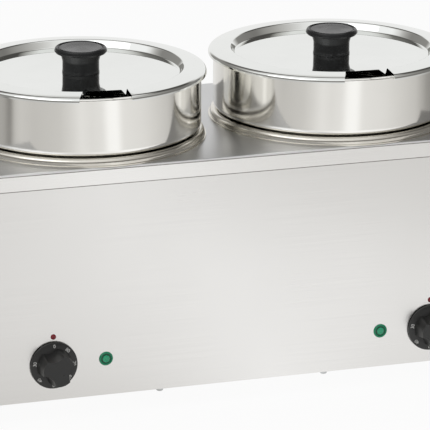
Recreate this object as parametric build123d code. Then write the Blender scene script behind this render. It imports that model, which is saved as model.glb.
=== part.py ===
from build123d import *
from math import cos, radians, sin
import os

# A bain-marie hot pot for a counter: two lift-out pots with lids, each in its own heated
# well, in one casing folded from stainless sheet.
# Millimetres. +X is to the right of a cook who faces the dials, +Y to the rear, +Z up.
# The origin is on the counter, under the middle of the casing.

SIDES = {"left": -1, "right": 1}

# Casing
WIDTH = 540.0
DEPTH = 260.0
DECK_TOP = 240.0
CASING_FOOT = 20.0
SHEET = 1.0
BEND = 3.0
SKIRT = 15.7
SEAM = 0.8
LIP_PLAY = 0.2
LIP_TOP = 236.0
FLANGE = 12.0
DECK_BEND = 2.5
PAST = 1.0
SNUG = 0.05
FREE = 0.1
FRONT = -DEPTH / 2
BACK = DEPTH / 2
SKIRT_FOOT = DECK_TOP - SKIRT
SEAM_TOP = SKIRT_FOOT - SEAM

# Pots, wells and lids, all round about one axis on each side
PITCH = 250.0
POT_Y = -12.0
WELL_RADIUS = 108.0
WELL_FLOOR = 80.0
WELL_CORNER = 9.0
DECK_HOLE = WELL_RADIUS + 1.0
BEAD_OUTER = 116.5
BEAD_FOOT = 118.0
BEAD_HEIGHT = 7.5
BEAD_BEND = 3.4
BEAD_HEM = 1.5
POT_SHEET = 1.0
POT_RADIUS = 101.8
POT_BOTTOM = 95.0
POT_CORNER = 14.0
BAND_RADIUS = 113.4
BAND_BEND = 6.0
SHOULDER_BEND = 2.0
SEAT_PLAY = 0.3
POT_RIM = 304.0
ROLL = 2.8
ROLL_DROP = 2.8
ROLL_BEND = 0.85
LID_SHEET = 1.0
DISC_RADIUS = 93.0
DISC_TOP = 300.0
CREST_RADIUS = 97.3
CREST_TOP = 307.0
HEM_RADIUS = 118.3
HEM_TOP = 305.2
HEM_FOOT = 300.6
HEM_BEND = 4.0
CREST_BEND = 2.5
DISC_BEND = 2.0
NOTCH_REACH = 2.0
NOTCH_OUTER = 51.0
NOTCH_INNER_LEFT = 14.0
NOTCH_INNER_RIGHT = 18.0
NOTCH_CORNER = 2.0
NOTCH_TURN = {"left": -5.0, "right": -2.2}

# Lid knob, a moulded mushroom held by one screw from below
KNOB_BASE = 17.8
KNOB_NECK = 17.4
KNOB_FLARE = 4.0
KNOB_THROAT = 13.6
KNOB_CAP = 25.0
KNOB_CAP_UNDERSIDE = 18.0
KNOB_CAP_WIDEST = 20.8
KNOB_RING = 22.4
KNOB_HEIGHT = 24.6
KNOB_LIP = 1.2
KNOB_DISH = 1.6
KNOB_SCREW = 2.5
KNOB_SCREW_HEAD = 4.6
KNOB_SCREW_HEAD_HEIGHT = 3.2
KNOB_SCREW_LENGTH = 12.0
KNOB_WASHER = 6.6
WASHER = 1.0

# Controls on the front panel
DIAL_X = 186.3
DIAL_Z = 54.6
DIAL_REACH = 21.0
DIAL_GAP = 1.0
SKIRT_RADIUS = 22.4
SKIRT_EDGE = 3.0
SKIRT_RISE = 4.2
HUB_RADIUS = 16.5
HUB_LOBE = 2.0
HUB_EDGE = 1.4
HUB_ROOT = 0.5
SCALLOPS = 3
SCALLOP_RADIUS = 11.0
SCALLOP_CENTRE = 24.5
SCALLOP_TURN = 15.0
SPINDLE = 3.0
SPINDLE_FLAT = 1.5
SPINDLE_TIP = 14.0
SPINDLE_TAIL = 24.0
DIAL_HOLE = 5.2
LAMP_X = 135.8
LAMP_Z = 55.5
LAMP_FLANGE = 6.75
LAMP_BARREL = 4.9
LAMP_EYE = 4.25
LAMP_STEP = 4.75
LAMP_FLANGE_THICK = 1.5
LAMP_STEP_HEIGHT = 2.2
LAMP_EYE_HEIGHT = 3.6
LAMP_HEIGHT = 3.9
LAMP_DEPTH = 13.0
STUD_Z = 81.7
STUD_RADIUS = 2.7
STUD_SHANK = 1.2
STUD_EDGE = 0.8
STUD_HEIGHT = 1.1
STUD_TAIL = 1.5

# Thermostat and lamp holder, behind the front panel
THERMO_BRACKET = 40.0
THERMO_BRACKET_HEIGHT = 22.0
THERMO_BRACKET_THICK = 1.5
THERMO_BRACKET_CORNER = 4.0
THERMO_BODY = 34.0
THERMO_BODY_HEIGHT = 32.0
THERMO_BODY_BACK = -26.0
THERMO_BODY_CORNER = 5.0
THERMO_COVER = 28.0
THERMO_COVER_HEIGHT = 26.0
THERMO_COVER_BACK = -29.0
THERMO_BUSHING = 5.0
THERMO_BUSHING_TOP = -0.2
THERMO_SCREW_X = 14.0
THERMO_SCREW_LENGTH = 8.0
THERMO_TAB_X = 8.0
TAB_WIDTH = 6.3
TAB_THICK = 0.8
TAB_LENGTH = 8.0
HOLDER_BACK = -30.0
COLLAR = 8.0
COLLAR_THICK = 2.0
ARM_X = 6.0
ARM_WIDTH = 1.8
ARM_HEIGHT = 4.0
ARM_BACK = -18.0
YOKE_BACK = -20.0
LAMP_TAB_X = 2.6
LAMP_TAB_WIDTH = 2.8
LAMP_TAB_THICK = 0.6

# Heating, under each well
PLATE_RADIUS = 92.0
PLATE_THICK = 3.0
PLATE_FOOT = WELL_FLOOR - SHEET - PLATE_THICK
RING_RADIUS = 70.0
TUBE = 3.5
RING_Z = PLATE_FOOT - TUBE - 0.1
RING_GAP = 24.0
LEG_BEND = 9.0
LEG_FOOT = 50.0
CLAMP_LENGTH = 156.0
CLAMP_WIDTH = 16.0
CLAMP_THICK = 3.0
CLAMP_TOP = RING_Z - TUBE - 0.1
CLAMP_STUD = 3.0
CLAMP_CORNER = 5.0
CLAMP_STUD_TAIL = 9.0
CLAMP_HOLE = CLAMP_STUD + 0.2
CLAMP_NUT_FLATS = 10.0
CLAMP_NUT_HEIGHT = 5.0
PIN = 1.8
PIN_LENGTH = 9.0
CUTOUT_Y = 36.0
CUTOUT_FLANGE = 32.0
CUTOUT_FLANGE_WIDTH = 14.0
CUTOUT_FLANGE_THICK = 1.0
CUTOUT_CAN = 8.0
CUTOUT_CAN_HEIGHT = 10.0
CUTOUT_TAB_X = 4.0
BULB = 3.0
BULB_LENGTH = 48.0
BULB_END = 1.2
BULB_Y = POT_Y - 84.0
BULB_Z = PLATE_FOOT - 3.2
CAPILLARY = 1.0
CAPILLARY_BEND = 5.0
CAPILLARY_DROP = 4.0
CAPILLARY_RISE = 6.0
CAPILLARY_RUN = 14.0
CAPILLARY_BACK = 29.0
CLIP_WALL = 0.9
CLIP_PLAY = 0.1
CLIP_STRAP = 16.0
CLIP_STRAP_THICK = 0.8
CLIP_WIDTH = 10.0

# Screws and feet
SCREW = 2.0
SCREW_HEAD = 3.4
SCREW_HEAD_HEIGHT = 3.0
SCREW_SLOT = 0.9
SCREW_SLOT_DEPTH = 1.1
SCREW_LENGTH = 6.0
SCREW_HOLE = 2.1
BASE_SCREW_X = 81.5
BASE_SCREW_ROW = 7.0
BASE_SCREW_END = 8.0
BASE_SCREW_END_Y = 60.0
BASE_INSET = 4.0
BASE_CORNER = 5.0
BASE_SLOTS = 7
BASE_SLOT_PITCH = 16.0
BASE_SLOT_LENGTH = 90.0
BASE_SLOT_WIDTH = 5.0
PANEL_INSET = 2.0
PANEL_FOOT_INSET = 16.0
PANEL_LIP = 480.0
VENTS = 9
VENT_PITCH = 11.0
VENT_LENGTH = 44.0
VENT_WIDTH = 4.0
VENT_X = 150.0
VENT_Z = 90.0
REAR_SCREW_INSET = 7.0
REAR_SCREW_HEIGHTS = (40.0, 122.0, 205.0)
DECK_SCREW_XS = (-180.0, 0.0, 180.0)
FOOT_X = 252.0
FOOT_Y = 112.0
FOOT_TOP_RADIUS = 10.5
FOOT_RADIUS = 8.5
FOOT_HEIGHT = CASING_FOOT - SHEET
FOOT_POCKET = 4.5
FOOT_POCKET_DEPTH = 12.0
FOOT_SCREW_LENGTH = 14.0
FOOT_NUT_FLATS = 7.0
FOOT_NUT_HEIGHT = 3.2

# Cable gland on the rear panel, as long outside as the dials are at the front
GLAND_Z = 50.0
GLAND_THREAD = 10.0
GLAND_BORE = 4.2
GLAND_NUT_FLATS = 26.0
GLAND_INNER = 12.0
GLAND_HEXAGON = 12.0
GLAND_HEXAGON_HEIGHT = 5.0
GLAND_CAP = 11.5
GLAND_CAP_SHOULDER = 15.0
GLAND_MOUTH = 7.5
GLAND_NUT_HEIGHT = 5.0
GLAND_GROOVES = 12
GLAND_GROOVE = (2.4, 2.0, 7.0)
GLAND_GROOVE_PLACE = (12.3, 0.0, 10.5)

# Terminal block and earth stud, on the base plate
BLOCK_HALF = 24.0
BLOCK_FRONT = 66.0
BLOCK_BACK = 90.0
BLOCK_FOOT = 8.0
BLOCK_HEIGHT = 18.0
POLE_PITCH = 15.0
POLE_WIDTH = 11.0
POLE_BORE = 2.2
POLE_BORE_Z = 12.0
POLE_SCREW_WELL = 2.0
POLE_SCREW_YS = (71.0, 85.0)
EARTH_X = 46.0
EARTH_Y = 92.0
EARTH_STUD = 2.5
EARTH_STUD_HEIGHT = 16.0
EARTH_WASHER = 5.5
EARTH_WASHER_THICK = 1.2
EARTH_NUT_FLATS = 8.0
EARTH_NUT_TOP = 5.4


def spun_sheet(points, radii, gauge):
    """Sheet spun about Z; points are (radius, height) on one face, the metal on their left."""
    with BuildSketch(Plane.XZ) as section:
        with BuildLine():
            face_line = FilletPolyline(*points, radius=radii)
            offset(face_line, amount=gauge, side=Side.LEFT)
        make_face()
    return revolve(section.sketch, Axis.Z)


def turned(points, radii=0.0):
    """Solid turned about Z from a closed outline of (radius, height) points."""
    with BuildSketch(Plane.XZ) as section:
        with BuildLine():
            path = FilletPolyline(*points, radius=radii)
            Line(path @ 1, path @ 0)
        make_face()
    return revolve(section.sketch, Axis.Z)


def drum(radius, bottom, top, x=0.0, y=0.0):
    """Upright cylinder between two heights."""
    return Pos(x, y, bottom) * extrude(Circle(radius), top - bottom)


def block(x0, x1, y0, y1, z0, z1):
    """Box between two corners."""
    middle = ((x0 + x1) / 2, (y0 + y1) / 2, (z0 + z1) / 2)
    return Pos(*middle) * Box(x1 - x0, y1 - y0, z1 - z0)


def rounded_tube(width, front, back, corner, wall, bottom, top):
    """Upright rectangular tube with rounded corners, open above and below."""
    depth = back - front
    inner_corner = max(corner - wall, 0.5)
    outline = RectangleRounded(width, depth, corner)
    outline -= RectangleRounded(width - 2 * wall, depth - 2 * wall, inner_corner)
    return Pos(0, (front + back) / 2, bottom) * extrude(outline, top - bottom)


def on_front(x, z):
    """Plane on the front panel, its Z out towards the cook and its Y up."""
    return Plane(origin=(x, FRONT, z), x_dir=(1, 0, 0), z_dir=(0, -1, 0))


def on_back(x, z):
    """Plane on the rear panel, its Z out to the rear and its Y up."""
    return Plane(origin=(x, BACK, z), x_dir=(-1, 0, 0), z_dir=(0, 1, 0))


def well_axis(side):
    """Where the axis of one pot and well stands."""
    return Pos(SIDES[side] * PITCH / 2, POT_Y, 0)


def pan_screw(length):
    """Pan-head screw along Z, its head above zero and its shank below."""
    head = turned(
        [(0, 0), (SCREW_HEAD, 0), (SCREW_HEAD, SCREW_HEAD_HEIGHT), (0, SCREW_HEAD_HEIGHT)],
        [0.3, 1.6],
    )
    half = SCREW_SLOT / 2
    top = SCREW_HEAD_HEIGHT
    slot = block(-SCREW_HEAD, SCREW_HEAD, -half, half, top - SCREW_SLOT_DEPTH, top + PAST)
    return head - slot + drum(SCREW, -length, 0)


def base_screw_places():
    """Where the base plate is screwed to the casing's flanges."""
    row_y = BACK - BASE_SCREW_ROW
    end_x = WIDTH / 2 - BASE_SCREW_END
    rows = [(x, y) for y in (-row_y, row_y) for x in (-BASE_SCREW_X, BASE_SCREW_X)]
    ends = [(x, y) for x in (-end_x, end_x) for y in (-BASE_SCREW_END_Y, BASE_SCREW_END_Y)]
    return rows + ends


def foot_places():
    """Where the feet stand, one near each corner."""
    return [(x, y) for x in (-FOOT_X, FOOT_X) for y in (-FOOT_Y, FOOT_Y)]


def rear_screw_places():
    """Where the rear panel is screwed to the casing's side flanges."""
    edge = WIDTH / 2 - REAR_SCREW_INSET
    return [(x, z) for x in (-edge, edge) for z in REAR_SCREW_HEIGHTS]


def deck_screw_places():
    """Where the deck's rear skirt is screwed to the rear panel's lip."""
    return [(x, (SKIRT_FOOT + DECK_TOP) / 2) for x in DECK_SCREW_XS]


def group(solids):
    """Several solids that share one node."""
    return Compound(children=list(solids))


def deck_cover():
    """Tray over the casing, with a folded skirt and a hole for each well."""
    outer = Pos(0, 0, SKIRT_FOOT) * extrude(RectangleRounded(WIDTH, DEPTH, BEND), SKIRT)
    outer = fillet(outer.faces().sort_by(Axis.Z)[-1].edges(), DECK_BEND)
    inner = extrude(RectangleRounded(WIDTH - 2 * SHEET, DEPTH - 2 * SHEET, BEND - SHEET), SKIRT - SHEET)
    inner = Pos(0, 0, SKIRT_FOOT) * inner
    inner = fillet(inner.faces().sort_by(Axis.Z)[-1].edges(), DECK_BEND - SHEET)
    tray = outer - inner
    for side in SIDES:
        tray -= well_axis(side) * drum(DECK_HOLE, SKIRT_FOOT, DECK_TOP + PAST)
    for x, z in deck_screw_places():
        tray -= on_back(x, z) * Pos(0, 0, -SHEET) * Cylinder(SCREW_HOLE, 4 * SHEET)
    return tray


def front_casing():
    """Front and both sides in one folded sheet, with flanges turned inward."""
    back = BACK - SHEET
    step = SHEET + LIP_PLAY
    wall = rounded_tube(WIDTH, FRONT, back, BEND, SHEET, CASING_FOOT, SEAM_TOP)
    wall += rounded_tube(WIDTH, FRONT, back, BEND, FLANGE, CASING_FOOT, CASING_FOOT + SHEET)
    wall += rounded_tube(WIDTH, FRONT, back, BEND, step + SHEET, SEAM_TOP - SHEET, SEAM_TOP)
    lip = rounded_tube(WIDTH - 2 * step, FRONT + step, back, BEND - step, SHEET, SEAM_TOP, LIP_TOP)
    lip_end = BACK - FLANGE - 2 * BEND
    wall += lip - block(-WIDTH, WIDTH, lip_end, BACK + PAST, SEAM_TOP, LIP_TOP)
    gap = WIDTH / 2 - FLANGE
    flange_end = BACK - FLANGE - 2 * SHEET
    wall -= block(-gap, gap, flange_end, BACK + PAST, CASING_FOOT - PAST, LIP_TOP + PAST)
    for sign in SIDES.values():
        wall -= on_front(sign * DIAL_X, DIAL_Z) * Cylinder(DIAL_HOLE, 4 * SHEET)
        for offset_x in (-THERMO_SCREW_X, THERMO_SCREW_X):
            sink = Pos(0, 0, -SHEET / 2) * Cone(SCREW_HOLE, SCREW_HEAD + FREE, SHEET)
            wall -= on_front(sign * DIAL_X + offset_x, DIAL_Z) * sink
        wall -= on_front(sign * LAMP_X, LAMP_Z) * Cylinder(LAMP_BARREL + FREE, 4 * SHEET)
        wall -= on_front(sign * DIAL_X, STUD_Z) * Cylinder(STUD_SHANK + FREE, 4 * SHEET)
    for x, y in base_screw_places():
        wall -= drum(SCREW_HOLE, CASING_FOOT - PAST, CASING_FOOT + SHEET + PAST, x, y)
    for x, z in rear_screw_places():
        wall -= on_back(x, z) * Pos(0, 0, -SHEET) * Cylinder(SCREW_HOLE, 4 * SHEET)
    return wall


def rear_panel():
    """Back of the casing, with vents behind the wells and the hole for the gland."""
    face_x = WIDTH / 2 - PANEL_INSET
    foot_x = WIDTH / 2 - PANEL_FOOT_INSET
    lip_x = PANEL_LIP / 2
    reach = SHEET + LIP_PLAY
    face = block(-face_x, face_x, BACK - SHEET, BACK, CASING_FOOT, SEAM_TOP)
    foot = block(-foot_x, foot_x, BACK - FLANGE, BACK, CASING_FOOT, CASING_FOOT + SHEET)
    step = block(-lip_x, lip_x, BACK - reach - SHEET, BACK, SEAM_TOP - SHEET, SEAM_TOP)
    lip = block(-lip_x, lip_x, BACK - reach - SHEET, BACK - reach, SEAM_TOP, LIP_TOP)
    panel = face + foot + step + lip
    vent = SlotOverall(VENT_LENGTH, VENT_WIDTH, rotation=90)
    for sign in SIDES.values():
        vents = GridLocations(VENT_PITCH, 1, VENTS, 1) * vent
        cutter = Pos(0, 0, -2 * SHEET) * extrude(Sketch() + vents, 4 * SHEET)
        panel -= on_back(sign * VENT_X, VENT_Z) * cutter
    panel -= on_back(0, GLAND_Z) * Cylinder(GLAND_THREAD + FREE, 4 * SHEET)
    for x, z in rear_screw_places():
        panel -= on_back(x, z) * Cylinder(SCREW_HOLE, 4 * SHEET)
    for x, z in deck_screw_places():
        panel -= on_back(x, z) * Pos(0, 0, -reach) * Cylinder(SCREW_HOLE, 4 * SHEET)
    for x, y in base_screw_places():
        panel -= drum(SCREW_HOLE, CASING_FOOT - PAST, CASING_FOOT + SHEET + PAST, x, y)
    return panel


def base_plate():
    """Floor of the casing, screwed under the flanges, with slots under each heater."""
    under = CASING_FOOT - SHEET
    outline = RectangleRounded(WIDTH - 2 * BASE_INSET, DEPTH - 2 * BASE_INSET, BASE_CORNER)
    plate = Pos(0, 0, under) * extrude(outline, SHEET)
    slot = SlotOverall(BASE_SLOT_LENGTH, BASE_SLOT_WIDTH)
    slots = Sketch() + GridLocations(1, BASE_SLOT_PITCH, 1, BASE_SLOTS) * slot
    for side in SIDES:
        plate -= well_axis(side) * Pos(0, 0, under - PAST) * extrude(slots, SHEET + 2 * PAST)
    for x, y in base_screw_places() + foot_places():
        plate -= drum(SCREW_HOLE, under - PAST, CASING_FOOT + PAST, x, y)
    return plate


def well():
    """Water bath: a deep pan whose rim is rolled over the edge of the deck's hole."""
    crest = DECK_TOP + BEAD_HEIGHT - SHEET
    points = [
        (0, WELL_FLOOR - SHEET),
        (WELL_RADIUS, WELL_FLOOR - SHEET),
        (WELL_RADIUS, crest),
        (BEAD_OUTER - SHEET, crest),
        (BEAD_OUTER - SHEET, DECK_TOP),
        (BEAD_FOOT, DECK_TOP),
    ]
    return spun_sheet(points, [WELL_CORNER, BEAD_BEND, BEAD_BEND, BEAD_HEM], SHEET)


def pot():
    """Soup pot: a narrow lower part hangs in the well, the wide band rests on the bead."""
    seat = DECK_TOP + BEAD_HEIGHT + SEAT_PLAY
    crest = POT_RIM - POT_SHEET
    points = [
        (0, POT_BOTTOM),
        (POT_RADIUS, POT_BOTTOM),
        (POT_RADIUS, seat),
        (BAND_RADIUS, seat),
        (BAND_RADIUS, crest),
        (BAND_RADIUS + ROLL - POT_SHEET, crest),
        (BAND_RADIUS + ROLL - POT_SHEET, POT_RIM - ROLL_DROP),
    ]
    bends = [POT_CORNER, SHOULDER_BEND, BAND_BEND, ROLL_BEND, ROLL_BEND]
    return spun_sheet(points, bends, POT_SHEET)


def lid(side):
    """Lid: a sunk flat disc in a raised flange, with a notch for the ladle at the front."""
    points = [
        (HEM_RADIUS, HEM_FOOT),
        (HEM_RADIUS, HEM_TOP),
        (CREST_RADIUS, CREST_TOP),
        (DISC_RADIUS, DISC_TOP),
        (0, DISC_TOP),
    ]
    shell = spun_sheet(points, [HEM_BEND, CREST_BEND, DISC_BEND], LID_SHEET)
    inner_y = -(DISC_RADIUS - NOTCH_REACH)
    outer_y = -(HEM_RADIUS + NOTCH_REACH)
    with BuildSketch() as outline:
        Polygon(
            (-NOTCH_INNER_LEFT, inner_y),
            (NOTCH_INNER_RIGHT, inner_y),
            (NOTCH_OUTER / 2, outer_y),
            (-NOTCH_OUTER / 2, outer_y),
            align=None,
        )
        fillet(outline.vertices().group_by(Axis.Y)[-1], NOTCH_CORNER)
    foot = DISC_TOP - LID_SHEET - PAST
    cutter = Pos(0, 0, foot) * extrude(outline.sketch, CREST_TOP - foot + PAST)
    shell -= Rot(0, 0, NOTCH_TURN[side]) * cutter
    return shell - drum(KNOB_SCREW + FREE, foot, DISC_TOP + PAST)


def lid_knob():
    """Moulded mushroom knob with a ringed, slightly dished cap and a blind screw hole."""
    rim = (KNOB_RING - KNOB_LIP, KNOB_HEIGHT - KNOB_LIP / 2)
    centre = (0, KNOB_HEIGHT - KNOB_DISH)
    sag = rim[1] - centre[1]
    dish_radius = (rim[0] ** 2 + sag ** 2) / (2 * sag)
    with BuildSketch(Plane.XZ) as section:
        with BuildLine():
            FilletPolyline(
                (0, 0),
                (KNOB_BASE, 0),
                (KNOB_NECK, KNOB_FLARE),
                (KNOB_NECK, KNOB_THROAT),
                (KNOB_CAP - 0.8, KNOB_CAP_UNDERSIDE),
                (KNOB_CAP, KNOB_CAP_WIDEST),
                (KNOB_RING, KNOB_HEIGHT),
                rim,
                radius=[0.8, 8, 4, 1.5, 3, 0.6],
            )
            RadiusArc(rim, centre, dish_radius)
            Line(centre, (0, 0))
        make_face()
    body = revolve(section.sketch, Axis.Z)
    hole = drum(KNOB_SCREW + SNUG, -PAST, KNOB_SCREW_LENGTH + PAST)
    return Pos(0, 0, DISC_TOP) * (body - hole)


def knob_screw():
    """Screw that holds the knob, its head under the lid's disc."""
    under = DISC_TOP - LID_SHEET
    head = turned(
        [
            (0, under),
            (KNOB_SCREW_HEAD, under),
            (KNOB_SCREW_HEAD, under - KNOB_SCREW_HEAD_HEIGHT),
            (0, under - KNOB_SCREW_HEAD_HEIGHT),
        ],
        [0.3, 1.8],
    )
    washer = drum(KNOB_WASHER, under - WASHER, under)
    return head + washer + drum(KNOB_SCREW, under - WASHER, DISC_TOP + KNOB_SCREW_LENGTH)


def dial():
    """Thermostat dial: a numbered skirt and a hub with three finger scallops."""
    skirt = turned(
        [
            (0, DIAL_GAP),
            (SKIRT_RADIUS, DIAL_GAP),
            (SKIRT_RADIUS, SKIRT_EDGE),
            (HUB_RADIUS, SKIRT_RISE),
            (0, SKIRT_RISE),
        ],
        [0.4, 0.7, 0.3],
    )
    height = DIAL_REACH - SKIRT_RISE + HUB_ROOT
    hub = drum(HUB_RADIUS, 0, height)
    for scallop in range(SCALLOPS):
        turn = radians(90 + SCALLOP_TURN + 360 * scallop / SCALLOPS)
        x, y = SCALLOP_CENTRE * cos(turn), SCALLOP_CENTRE * sin(turn)
        hub -= drum(SCALLOP_RADIUS, -PAST, height + PAST, x, y)
    upright = hub.edges().filter_by(lambda edge: edge.bounding_box().size.Z > height - PAST)
    hub = fillet(upright, HUB_LOBE)
    hub = fillet(hub.faces().sort_by(Axis.Z)[-1].edges(), HUB_EDGE)
    body = skirt + Pos(0, 0, SKIRT_RISE - HUB_ROOT) * hub
    bore = Sketch() + Circle(SPINDLE + SNUG)
    bore -= Pos(0, SPINDLE) * Rectangle(4 * SPINDLE, 2 * (SPINDLE_FLAT - SNUG))
    return body - extrude(bore, SPINDLE_TIP + PAST / 2)


def spindle():
    """Thermostat spindle, round through the panel and flatted inside the dial."""
    shaft = drum(SPINDLE, -SPINDLE_TAIL, SPINDLE_TIP)
    side = 2 * SPINDLE
    flat = block(-side, side, SPINDLE - SPINDLE_FLAT, side, DIAL_GAP, SPINDLE_TIP + PAST)
    return shaft - flat


def centred_block(width, height, back, front, corner=0.0):
    """Block round the Z axis from back to front, its upright corners rounded."""
    body = block(-width / 2, width / 2, -height / 2, height / 2, back, front)
    return fillet(body.edges().filter_by(Axis.Z), corner) if corner else body


def tab(x, width, thick, back, front):
    """Flat blade for a push-on connector."""
    return Pos(x, 0, 0) * centred_block(width, thick, back, front)


def thermostat():
    """Thermostat behind the panel: bracket, body, bushing and two blade tabs."""
    front = -SHEET - THERMO_BRACKET_THICK
    whole = centred_block(
        THERMO_BRACKET, THERMO_BRACKET_HEIGHT, front, -SHEET, THERMO_BRACKET_CORNER
    )
    whole += centred_block(
        THERMO_BODY, THERMO_BODY_HEIGHT, THERMO_BODY_BACK, front, THERMO_BODY_CORNER
    )
    whole += centred_block(THERMO_COVER, THERMO_COVER_HEIGHT, THERMO_COVER_BACK, THERMO_BODY_BACK)
    whole += drum(THERMO_BUSHING, front, THERMO_BUSHING_TOP)
    for x in (-THERMO_TAB_X, THERMO_TAB_X):
        whole += tab(x, TAB_WIDTH, TAB_THICK, THERMO_COVER_BACK - TAB_LENGTH, THERMO_COVER_BACK)
    whole -= drum(SPINDLE + FREE, -SPINDLE_TAIL - PAST, PAST)
    for x in (-THERMO_SCREW_X, THERMO_SCREW_X):
        whole -= drum(SCREW + SNUG, -THERMO_SCREW_LENGTH - PAST, 0, x)
    return whole


def thermostat_screw():
    """Countersunk screw, flush with the panel behind the dial's skirt."""
    head = Pos(0, 0, -SHEET / 2) * Cone(SCREW, SCREW_HEAD, SHEET)
    return head + drum(SCREW, -THERMO_SCREW_LENGTH, -SHEET)


def pilot_lamp():
    """Pilot lamp lens: a flange on the panel, a raised eye and a barrel through it."""
    return turned(
        [
            (0, -LAMP_DEPTH),
            (LAMP_BARREL, -LAMP_DEPTH),
            (LAMP_BARREL, 0),
            (LAMP_FLANGE, 0),
            (LAMP_FLANGE, LAMP_FLANGE_THICK),
            (LAMP_STEP, LAMP_STEP_HEIGHT),
            (LAMP_EYE, LAMP_EYE_HEIGHT),
            (0, LAMP_HEIGHT),
        ],
        [0.4, 0, 0.3, 0.6, 0.3, 0.8],
    )


def lamp_holder():
    """Lamp holder behind the lens, with a spring collar against the panel and two tabs."""
    collar_back = -SHEET - COLLAR_THICK
    holder = drum(LAMP_BARREL, HOLDER_BACK, -LAMP_DEPTH)
    collar = drum(COLLAR, collar_back, -SHEET)
    collar -= drum(LAMP_BARREL + FREE, collar_back - PAST, 0)
    yoke_width = 2 * ARM_X + ARM_WIDTH
    whole = holder + collar + centred_block(yoke_width, ARM_HEIGHT, YOKE_BACK, ARM_BACK)
    for sign in SIDES.values():
        whole += tab(sign * ARM_X, ARM_WIDTH, ARM_HEIGHT, ARM_BACK, collar_back)
        whole += tab(
            sign * LAMP_TAB_X, LAMP_TAB_WIDTH, LAMP_TAB_THICK, HOLDER_BACK - TAB_LENGTH, HOLDER_BACK
        )
    return whole


def index_stud():
    """Domed stud above the dial that its numbers are read against."""
    dome = turned(
        [(0, 0), (STUD_RADIUS, 0), (STUD_RADIUS - 0.3, STUD_EDGE), (0, STUD_HEIGHT)],
        [0.2, 0.6],
    )
    return dome + drum(STUD_SHANK, -SHEET - STUD_TAIL, 0)


def heat_plate():
    """Aluminium plate that spreads the element's heat over the well's floor."""
    plate = drum(PLATE_RADIUS, PLATE_FOOT, PLATE_FOOT + PLATE_THICK)
    return plate - drum(CLAMP_HOLE, PLATE_FOOT - PAST, WELL_FLOOR)


def heater():
    """Tubular element: an open ring under the plate, its two legs bent down to terminals."""
    angles = (90 + RING_GAP / 2, 90 - RING_GAP / 2)
    ends = []
    for angle, sense in zip(angles, (1, -1)):
        a = radians(angle)
        ring_end = Vector(RING_RADIUS * cos(a), RING_RADIUS * sin(a), RING_Z)
        back = Vector(sin(a), -cos(a), 0) * sense * LEG_BEND
        down = Vector(0, 0, -LEG_BEND)
        knee = ring_end + back * sin(radians(45)) + down * (1 - cos(radians(45)))
        ends.append((ring_end, knee, ring_end + back + down))
    (start, start_knee, start_leg), (stop, stop_knee, stop_leg) = ends
    with BuildLine() as path:
        Line((start_leg.X, start_leg.Y, LEG_FOOT), start_leg)
        ThreePointArc(start_leg, start_knee, start)
        ThreePointArc(start, (0, -RING_RADIUS, RING_Z), stop)
        ThreePointArc(stop, stop_knee, stop_leg)
        Line(stop_leg, (stop_leg.X, stop_leg.Y, LEG_FOOT))
    section = Plane(origin=(start_leg.X, start_leg.Y, LEG_FOOT), z_dir=(0, 0, 1)) * Circle(TUBE)
    element = sweep(section, path=path.line)
    for leg in (start_leg, stop_leg):
        element += drum(PIN, LEG_FOOT - PIN_LENGTH, LEG_FOOT, leg.X, leg.Y)
    return element


def heater_clamp():
    """Bar that presses the ring against the plate."""
    foot = CLAMP_TOP - CLAMP_THICK
    bar = centred_block(CLAMP_LENGTH, CLAMP_WIDTH, foot, CLAMP_TOP, CLAMP_CORNER)
    return bar - drum(CLAMP_HOLE, foot - PAST, CLAMP_TOP + PAST)


def clamp_stud():
    """Stud welded under the well, which the clamp hangs from."""
    return drum(CLAMP_STUD, CLAMP_TOP - CLAMP_THICK - CLAMP_STUD_TAIL, WELL_FLOOR - SHEET)


def hex_nut(flats, thread, bottom, top, x=0.0, y=0.0):
    """Hexagonal nut about Z."""
    outline = RegularPolygon(flats / 2, 6, major_radius=False) - Circle(thread)
    return Pos(x, y, bottom) * extrude(outline, top - bottom)


def cutout():
    """Bimetal thermal cut-out under the plate, with its flange and two tabs."""
    flange_foot = PLATE_FOOT - CUTOUT_FLANGE_THICK
    can_foot = flange_foot - CUTOUT_CAN_HEIGHT
    flange = extrude(SlotOverall(CUTOUT_FLANGE, CUTOUT_FLANGE_WIDTH), CUTOUT_FLANGE_THICK)
    whole = Pos(0, 0, flange_foot) * flange + drum(CUTOUT_CAN, can_foot, flange_foot)
    for x in (-CUTOUT_TAB_X, CUTOUT_TAB_X):
        whole += tab(x, TAB_WIDTH, TAB_THICK, can_foot - TAB_LENGTH, can_foot)
    return Pos(0, CUTOUT_Y, 0) * whole


def sensor(sign):
    """Thermostat's bulb under the plate, and the capillary tube that joins them."""
    bulb = Cylinder(BULB, BULB_LENGTH, rotation=(0, 90, 0))
    bulb = Pos(PITCH / 2, BULB_Y, BULB_Z) * fillet(bulb.edges(), BULB_END)
    end = (PITCH + BULB_LENGTH) / 2
    up_x = DIAL_X - CAPILLARY_RISE
    up_z = DIAL_Z + CAPILLARY_RISE
    route = [
        (end - PAST / 2, BULB_Y, BULB_Z),
        (end + CAPILLARY_RUN, BULB_Y, BULB_Z),
        (up_x - CAPILLARY_RISE, BULB_Y + CAPILLARY_RUN - 2, BULB_Z - CAPILLARY_DROP),
        (up_x, BULB_Y + CAPILLARY_RUN, up_z),
        (up_x, FRONT + CAPILLARY_BACK, up_z),
    ]
    with BuildLine() as path:
        FilletPolyline(*route, radius=CAPILLARY_BEND)
    section = Plane(origin=route[0], z_dir=(1, 0, 0)) * Circle(CAPILLARY)
    whole = bulb + sweep(section, path=path.line)
    return whole if sign > 0 else mirror(whole, Plane.YZ)


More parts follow.
